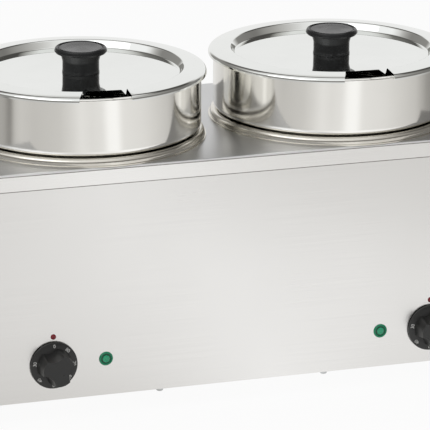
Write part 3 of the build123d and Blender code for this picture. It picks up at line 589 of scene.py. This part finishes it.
def notch_cutter(reach, turn):
    """An upright block with the outline of the ladle notch, turned about the lid's axis."""
    outline = rounded_path((
        (NOTCH_INNER[0], -reach, NOTCH_INNER_BEND), (NOTCH_INNER[1], -reach, NOTCH_INNER_BEND),
        (NOTCH_OUTER[1], -NOTCH_OUTER_REACH, NOTCH_OUTER_BEND),
        (NOTCH_OUTER[0], -NOTCH_OUTER_REACH, NOTCH_OUTER_BEND)))
    cutter = drawn([Vector((point.x, point.y, NOTCH_FOOT)) * MM for point in outline])
    bpy.ops.mesh.edge_face_add()
    rise = (0, 0, NOTCH_HEIGHT * MM)
    bpy.ops.mesh.extrude_region_move(TRANSFORM_OT_translate={"value": rise})
    bpy.ops.mesh.select_all(action="SELECT")
    bpy.ops.mesh.normals_make_consistent(inside=False)
    bpy.ops.object.mode_set(mode="OBJECT")
    cutter.matrix_world = Matrix.Rotation(math.radians(turn), 4, "Z")
    return cutter


class HOTPOT_OT_lids(bpy.types.Operator):
    """Spin the lids from 1 mm sheet and cut the deep ladle notch with its burnished edge"""
    bl_idname = "hotpot.lids"
    bl_label = "Lids"

    def execute(self, context):
        polish = tuple(context.scene.hotpot_finish.polish_colour)
        # Rounded, because a property keeps only seven digits.
        reach = round(context.scene.hotpot_detail.notch_reach / MM, 4)
        shell = spun(LID_SECTION, LID_STEPS)
        # Buffed lids: a near mirror, cooler than the pots.
        shell.data.materials.append(polished_stainless(
            "buffed stainless lid", tinted(polish, LID_TINT), 0.03))
        for side in SIDES:
            piece = copied(shell)
            cut_away(piece, notch_cutter(reach, NOTCH_TURN[side]))
            bevelled(piece, *NOTCH_EDGE)
            put(piece, on_lid(side + "_lid_knob"))
            piece.name = side + "_lid_shell"
            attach(piece, "lid_" + side)
            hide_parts(side + "_lid")
        bpy.data.objects.remove(shell)
        return {"FINISHED"}


class HOTPOT_OT_lid_knobs(bpy.types.Operator):
    """Mould the lid knobs: waisted neck, thin cap with a ring line and a shallow dish"""
    bl_idname = "hotpot.lid_knobs"
    bl_label = "Lid knobs"

    def execute(self, context):
        black = tuple(context.scene.hotpot_finish.black_colour)
        knob = spun(KNOB_SECTION)
        # Bakelite: black with a soft gloss.
        knob.data.materials.append(moulded_plastic(
            "compression moulded bakelite", tinted(black, KNOB_TINT), 0.27))
        for side, piece in zip(SIDES, (knob, copied(knob))):
            put(piece, on_lid(side + "_lid_knob"))
            piece.name = side + "_knob_moulding"
            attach(piece, "lid_" + side)
            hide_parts(side + "_lid_knob")
        return {"FINISHED"}


def scalloped_hub(radius):
    """The dial's tapered hub with its finger scallops and rounded edges."""
    bpy.ops.object.select_all(action="DESELECT")
    bpy.ops.mesh.primitive_cone_add(
        vertices=HUB_SIDES, radius1=HUB_FOOT_RADIUS * MM, radius2=HUB_TIP_RADIUS * MM,
        depth=HUB_HEIGHT * MM, location=(0, 0, HUB_MIDDLE * MM))
    hub = bpy.context.object
    lean = Matrix.Rotation(math.radians(SCALLOP_LEAN), 4, "X")
    out = Matrix.Translation((0, SCALLOP_OUT * MM, HUB_MIDDLE * MM))
    for scallop in range(SCALLOPS):
        around = SCALLOP_TURN - 360 / SCALLOPS * scallop
        bpy.ops.object.select_all(action="DESELECT")
        bpy.ops.mesh.primitive_cylinder_add(vertices=SCALLOP_SIDES, radius=radius,
                                            depth=SCALLOP_LENGTH * MM)
        cutter = bpy.context.object
        cutter.matrix_world = Matrix.Rotation(math.radians(around), 4, "Z") @ out @ lean
        cut_away(hub, cutter)
    bevelled(hub, *HUB_EDGE)
    return hub


class HOTPOT_OT_dials(bpy.types.Operator):
    """Mould the dials: a sloping skirt and a tapered hub with three finger scallops"""
    bl_idname = "hotpot.dials"
    bl_label = "Thermostat dials"

    def execute(self, context):
        black = tuple(context.scene.hotpot_finish.black_colour)
        skirt = spun((
            (0, SKIRT_GAP, 0), (SKIRT_RADIUS, SKIRT_GAP, 0.4), (SKIRT_RADIUS, SKIRT_EDGE, 0.7),
            (SKIRT_ROOT, SKIRT_TOP, 0), (0, SKIRT_TOP, 0)))
        hub = scalloped_hub(context.scene.hotpot_detail.scallop_radius)
        select_only(skirt, hub)
        bpy.ops.object.join()
        # Phenolic: charcoal and half matt.
        skirt.data.materials.append(moulded_plastic(
            "moulded phenolic dial", tinted(black, DIAL_TINT), 0.34))
        for side, piece in zip(SIDES, (skirt, copied(skirt))):
            put(piece, on_panel(side + "_dial"), forward=True)
            piece.name = side + "_dial_moulding"
            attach(piece, "dial_" + side)
            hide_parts(side + "_dial")
        return {"FINISHED"}


def faceted_eye():
    """The lamp's raised eye: a stepped eight-sided prism with bevelled edges."""
    bpy.ops.object.select_all(action="DESELECT")
    bpy.ops.mesh.primitive_cylinder_add(vertices=EYE_SIDES, radius=EYE_RADIUS * MM,
                                        depth=EYE_HEIGHT * MM, location=(0, 0, EYE_MIDDLE * MM))
    eye = bpy.context.object
    bpy.ops.object.mode_set(mode="EDIT")
    bpy.ops.mesh.select_mode(type="FACE")
    bpy.ops.mesh.select_all(action="DESELECT")
    bpy.ops.object.mode_set(mode="OBJECT")
    for face in eye.data.polygons:
        face.select = face.normal.z > 0.9
    bpy.ops.object.mode_set(mode="EDIT")
    for inset, rise in EYE_STEPS:
        bpy.ops.mesh.inset(thickness=inset * MM)
        bpy.ops.transform.translate(value=(0, 0, rise * MM))
    bpy.ops.mesh.select_all(action="SELECT")
    bpy.ops.mesh.bevel(offset=EYE_EDGE * MM, segments=1, affect="EDGES")
    bpy.ops.mesh.normals_make_consistent(inside=False)
    bpy.ops.object.mode_set(mode="OBJECT")
    return eye


class HOTPOT_OT_pilot_lamps(bpy.types.Operator):
    """Mould the pilot lamps: a bevelled flange, a recess painted dark as shade and a faceted eye
    painted lighter as a highlight
    """
    bl_idname = "hotpot.pilot_lamps"
    bl_label = "Pilot lamps"

    def execute(self, context):
        green = tuple(context.scene.hotpot_finish.lamp_colour)
        # Acrylic: clear green gloss, with painted shade in the recess and a painted highlight on
        # the eye.
        flange = moulded_plastic("tinted acrylic flange", green, 0.3)
        # Painted shade: a darker copy of the green for the recess.
        dark = moulded_plastic("tinted acrylic, painted recess shade", tinted(green, RECESS_PAINTED_SHADE), 0.3)
        # Painted highlight: a lighter copy of the green for the eye.
        painted_eye_light = tuple(min(1, c * 1.5 + 0.03) for c in green)
        bright = moulded_plastic("tinted acrylic, painted eye highlight", painted_eye_light, 0.22)
        lamp = spun(LAMP_SECTION, LAMP_STEPS)
        lamp.data.materials.append(flange)
        lamp.data.materials.append(dark)
        low, high = RECESS_SHADE_HEIGHTS
        # Faces inside the recess take the painted shade.
        for face in lamp.data.polygons:
            from_axis = math.hypot(*face.center[:2])
            if low * MM < face.center.z < high * MM and from_axis < RECESS_SHADE_RADIUS * MM:
                face.material_index = 1
        eye = faceted_eye()
        eye.data.materials.append(bright)
        select_only(lamp, eye)
        bpy.ops.object.join()
        for side, piece in zip(SIDES, (lamp, copied(lamp))):
            put(piece, on_panel(side + "_pilot_lamp"), forward=True)
            piece.name = side + "_lamp_lens"
            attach(piece, "housing")
            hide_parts(side + "_pilot_lamp")
        return {"FINISHED"}


def printed_mark(text, turn, middle, size):
    """One number lying on the dial's sloping skirt, its top outwards."""
    bpy.ops.object.select_all(action="DESELECT")
    bpy.ops.object.text_add()
    mark = bpy.context.object
    mark.data.body = text
    mark.data.size = size
    mark.data.extrude = INK_THICKNESS * MM
    mark.data.align_x = "CENTER"
    mark.data.align_y = "CENTER"
    bpy.ops.object.convert(target="MESH")
    across = math.radians(turn)
    rise = (SKIRT_TOP - SKIRT_EDGE) / (SKIRT_RADIUS - SKIRT_ROOT)
    slope = math.atan(rise)
    out = Vector((math.sin(across), 0, math.cos(across)))
    right = Vector((math.cos(across), 0, -math.sin(across)))
    up = out * math.cos(slope) + Vector((0, math.sin(slope), 0))
    face = right.cross(up)
    height = SKIRT_EDGE + (SKIRT_RADIUS - MARK_RADIUS) * rise + INK_LIFT
    foot = Vector((middle.x, PANEL_FACE - height * MM, middle.z))
    turned = Matrix((right, up, face)).transposed().to_4x4()
    mark.matrix_world = Matrix.Translation(foot + out * MARK_RADIUS * MM) @ turned
    bpy.ops.object.transform_apply(location=True, rotation=True, scale=True)
    return mark


class HOTPOT_OT_dial_numbers(bpy.types.Operator):
    """Print the plain numbers on both dials"""
    bl_idname = "hotpot.dial_numbers"
    bl_label = "Dial numbers"

    def execute(self, context):
        # Screen printed ink: matt white with worn specks 0.7 mm across.
        white, tree, shader, place = new_material(
            "screen printed white ink", linear("F6F6F4"), 0.55)
        specks = add_node(tree, "ShaderNodeTexNoise",
                          {"Vector": place, "Scale": 1500.0, "Detail": 2.0}).outputs[0]
        finish_surface(tree, shader, linear("F8F8F6"), specks, (0.45, 0.65), specks, None, 0, 0.75)
        size = context.scene.hotpot_detail.number_size
        for side in SIDES:
            middle = Vector(on_panel(side + "_dial"))
            made = [printed_mark(text, turn, middle, size) for turn, text in DIAL_MARKS]
            select_only(*made)
            bpy.ops.object.join()
            numbers = bpy.context.object
            numbers.name = side + "_dial_numbers"
            numbers.data.materials.clear()
            numbers.data.materials.append(white)
            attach(numbers, "dial_" + side)
        return {"FINISHED"}


def warmed(tree, tone):
    """A tone that turns a little warmer where it is dim, as a room's corners do."""
    blend = add_node(tree, "ShaderNodeMix", {0: tone, 6: DIM_TONE, 7: WHITE}, data_type="RGBA")
    return add_node(tree, "ShaderNodeVectorMath", {0: tone, 1: blend.outputs[2]},
                    operation="MULTIPLY").outputs[0]


def studio_floor():
    """Pale sweep: white to the eye, and in reflections the uneven light of panels round it."""
    bpy.ops.object.select_all(action="DESELECT")
    bpy.ops.mesh.primitive_circle_add(vertices=FLOOR_SIDES, radius=FLOOR_RADIUS,
                                      location=(0, 0, -FLOOR_DROP), fill_type="NGON")
    floor = bpy.context.object
    floor.name = "studio_floor"
    bpy.ops.object.mode_set(mode="EDIT")
    bpy.ops.mesh.inset(thickness=FLOOR_BORDER)
    bpy.ops.object.mode_set(mode="OBJECT")
    made, tree, shader, place = new_material("matt white sweep", linear("F2F2F1"), 0.9)
    path = add_node(tree, "ShaderNodeLightPath").outputs
    turn = add_node(tree, "ShaderNodeTexGradient", {"Vector": place},
                    gradient_type="RADIAL").outputs["Fac"]
    far = add_node(tree, "ShaderNodeValToRGB", {0: turn}, stops=FLOOR_FAR)
    near = add_node(tree, "ShaderNodeValToRGB", {0: turn}, stops=FLOOR_NEAR)
    reach = add_node(tree, "ShaderNodeVectorMath", {0: place}, operation="LENGTH")
    away = add_node(tree, "ShaderNodeMapRange",
                    {"Value": reach.outputs["Value"], "From Min": FLOOR_CHANGE[0],
                     "From Max": FLOOR_CHANGE[1]})
    tone = add_node(tree, "ShaderNodeMix",
                    {0: away.outputs[0], 6: near.outputs[0], 7: far.outputs[0]}, data_type="RGBA")
    mirrored = add_node(tree, "ShaderNodeEmission",
                        {"Color": warmed(tree, tone.outputs[2]), "Strength": 1.1})
    glow = add_node(tree, "ShaderNodeEmission", {"Color": WHITE, "Strength": 1.0})
    shown = add_node(tree, "ShaderNodeMixShader",
                     {0: path["Is Glossy Ray"], 1: glow.outputs[0], 2: mirrored.outputs[0]})
    seen = add_node(tree, "ShaderNodeMath", {0: path["Is Camera Ray"], 1: path["Is Glossy Ray"]},
                    operation="MAXIMUM")
    clear = add_node(tree, "ShaderNodeMath", {0: seen.outputs[0], 1: path["Is Transmission Ray"]},
                     operation="MAXIMUM")
    # The rest of the sweep stays matt, so the part still drops its soft shadow on it.
    part = add_node(tree, "ShaderNodeMath", {0: clear.outputs[0], 1: FLOOR_GLOW},
                    operation="MULTIPLY")
    add_node(tree, "ShaderNodeMixShader",
             {0: part.outputs[0], 1: shader.outputs[0], 2: shown.outputs[0]},
             into=(found(tree, "OUTPUT_MATERIAL"), "Surface"))
    floor.data.materials.append(made)


def studio_world():
    """White overhead, behind and high at the front left; dim at the sides and above the back."""
    world = bpy.data.worlds.new("soft studio")
    bpy.context.scene.world = world
    world.use_nodes = True
    tree = world.node_tree
    tree.nodes.clear()
    way = add_node(tree, "ShaderNodeTexCoord").outputs["Generated"]
    height = add_node(tree, "ShaderNodeSeparateXYZ", {0: way}).outputs["Z"]
    turn = add_node(tree, "ShaderNodeTexGradient", {"Vector": way},
                    gradient_type="RADIAL").outputs["Fac"]
    low = add_node(tree, "ShaderNodeValToRGB", {0: turn}, stops=WALLS_LOW)
    high = add_node(tree, "ShaderNodeValToRGB", {0: turn}, stops=WALLS_HIGH)
    climb = add_node(tree, "ShaderNodeMapRange",
                     {"Value": height, "From Min": WALLS_CHANGE[0],
                      "From Max": WALLS_CHANGE[1]})
    middle = add_node(tree, "ShaderNodeMix",
                      {0: climb.outputs[0], 6: low.outputs[0], 7: high.outputs[0]},
                      data_type="RGBA")
    top = add_node(tree, "ShaderNodeMapRange",
                   {"Value": height, "From Min": CEILING_CHANGE[0],
                    "From Max": CEILING_CHANGE[1]})
    sky = add_node(tree, "ShaderNodeMix",
                   {0: top.outputs[0], 6: middle.outputs[2], 7: CEILING}, data_type="RGBA")
    lit = add_node(tree, "ShaderNodeBackground",
                   {"Color": warmed(tree, sky.outputs[2]), "Strength": 1.0})
    white = add_node(tree, "ShaderNodeBackground", {"Color": WHITE, "Strength": 1.0})
    path = add_node(tree, "ShaderNodeLightPath")
    output = add_node(tree, "ShaderNodeOutputWorld")
    add_node(tree, "ShaderNodeMixShader",
             {0: path.outputs["Is Camera Ray"], 1: lit.outputs[0], 2: white.outputs[0]},
             into=(output, "Surface"))


def key_light(power):
    """A soft box high on the left, turned to the part."""
    bpy.ops.object.light_add(type="AREA", location=KEY_PLACE)
    box = bpy.context.object
    box.name = "key_light"
    box.data.shape = "RECTANGLE"
    box.data.size, box.data.size_y = KEY_SIZE
    box.data.energy = power
    aim = Vector(KEY_TARGET) - Vector(KEY_PLACE)
    box.rotation_euler = aim.to_track_quat("-Z", "Y").to_euler()


class HOTPOT_OT_studio(bpy.types.Operator):
    """Set up the floor, world, lights and camera"""
    bl_idname = "hotpot.studio"
    bl_label = "Studio"

    def execute(self, context):
        studio = context.scene.hotpot_studio
        studio_floor()
        studio_world()
        key_light(studio.key_power)
        turn, rise = studio.azimuth, studio.elevation
        back = Vector((math.sin(turn) * math.cos(rise), -math.cos(turn) * math.cos(rise),
                       math.sin(rise)))
        bpy.ops.object.camera_add(location=Vector(CAMERA_TARGET) + back * studio.distance)
        camera = context.object
        camera.name = "photo_camera"
        look = (-back).to_track_quat("-Z", "Y").to_matrix() @ Matrix.Rotation(studio.roll, 3, "Z")
        camera.rotation_euler = look.to_euler()
        camera.data.lens = studio.lens
        camera.data.sensor_width = CAMERA_SENSOR
        camera.data.shift_x = studio.shift_x
        camera.data.shift_y = studio.shift_y
        camera.data.clip_end = CAMERA_REACH
        context.scene.camera = camera
        context.scene.view_settings.view_transform = "Standard"
        return {"FINISHED"}


OPERATORS = (HOTPOT_OT_casing, HOTPOT_OT_steel, HOTPOT_OT_hidden, HOTPOT_OT_index_studs,
             HOTPOT_OT_lids, HOTPOT_OT_lid_knobs, HOTPOT_OT_dials, HOTPOT_OT_pilot_lamps,
             HOTPOT_OT_dial_numbers, HOTPOT_OT_studio)


class HOTPOT_PT_panel(bpy.types.Panel):
    """Lists the hot pot's settings and steps"""
    bl_idname = "HOTPOT_PT_panel"
    bl_label = "Hot pot"
    bl_space_type = "VIEW_3D"
    bl_region_type = "UI"
    bl_category = "Hot pot"

    def draw(self, context):
        layout = self.layout
        scene = context.scene
        for group in (scene.hotpot_finish, scene.hotpot_detail, scene.hotpot_studio):
            for name in group.__annotations__:
                layout.prop(group, name)
        for operator in OPERATORS:
            layout.operator(operator.bl_idname)


CLASSES = (StudioSettings, FinishSettings, DetailSettings) + OPERATORS + (HOTPOT_PT_panel,)


def register():
    for cls in CLASSES:
        bpy.utils.register_class(cls)
    bpy.types.Scene.hotpot_studio = PointerProperty(type=StudioSettings)
    bpy.types.Scene.hotpot_finish = PointerProperty(type=FinishSettings)
    bpy.types.Scene.hotpot_detail = PointerProperty(type=DetailSettings)


def unregister():
    del bpy.types.Scene.hotpot_detail
    del bpy.types.Scene.hotpot_finish
    del bpy.types.Scene.hotpot_studio
    for cls in reversed(CLASSES):
        bpy.utils.unregister_class(cls)


def main():
    """Build the pieces in order on the loaded frame."""
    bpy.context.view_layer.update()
    for name in ("Cube", "Light", "Camera"):
        if name in bpy.data.objects:
            bpy.data.objects.remove(bpy.data.objects[name])
    register()
    bpy.ops.hotpot.casing()
    bpy.ops.hotpot.steel()
    bpy.ops.hotpot.hidden()
    bpy.ops.hotpot.index_studs()
    bpy.ops.hotpot.lids()
    bpy.ops.hotpot.lid_knobs()
    bpy.ops.hotpot.dials()
    bpy.ops.hotpot.pilot_lamps()
    bpy.ops.hotpot.dial_numbers()
    bpy.ops.hotpot.studio()


if __name__ == "__main__":
    main()
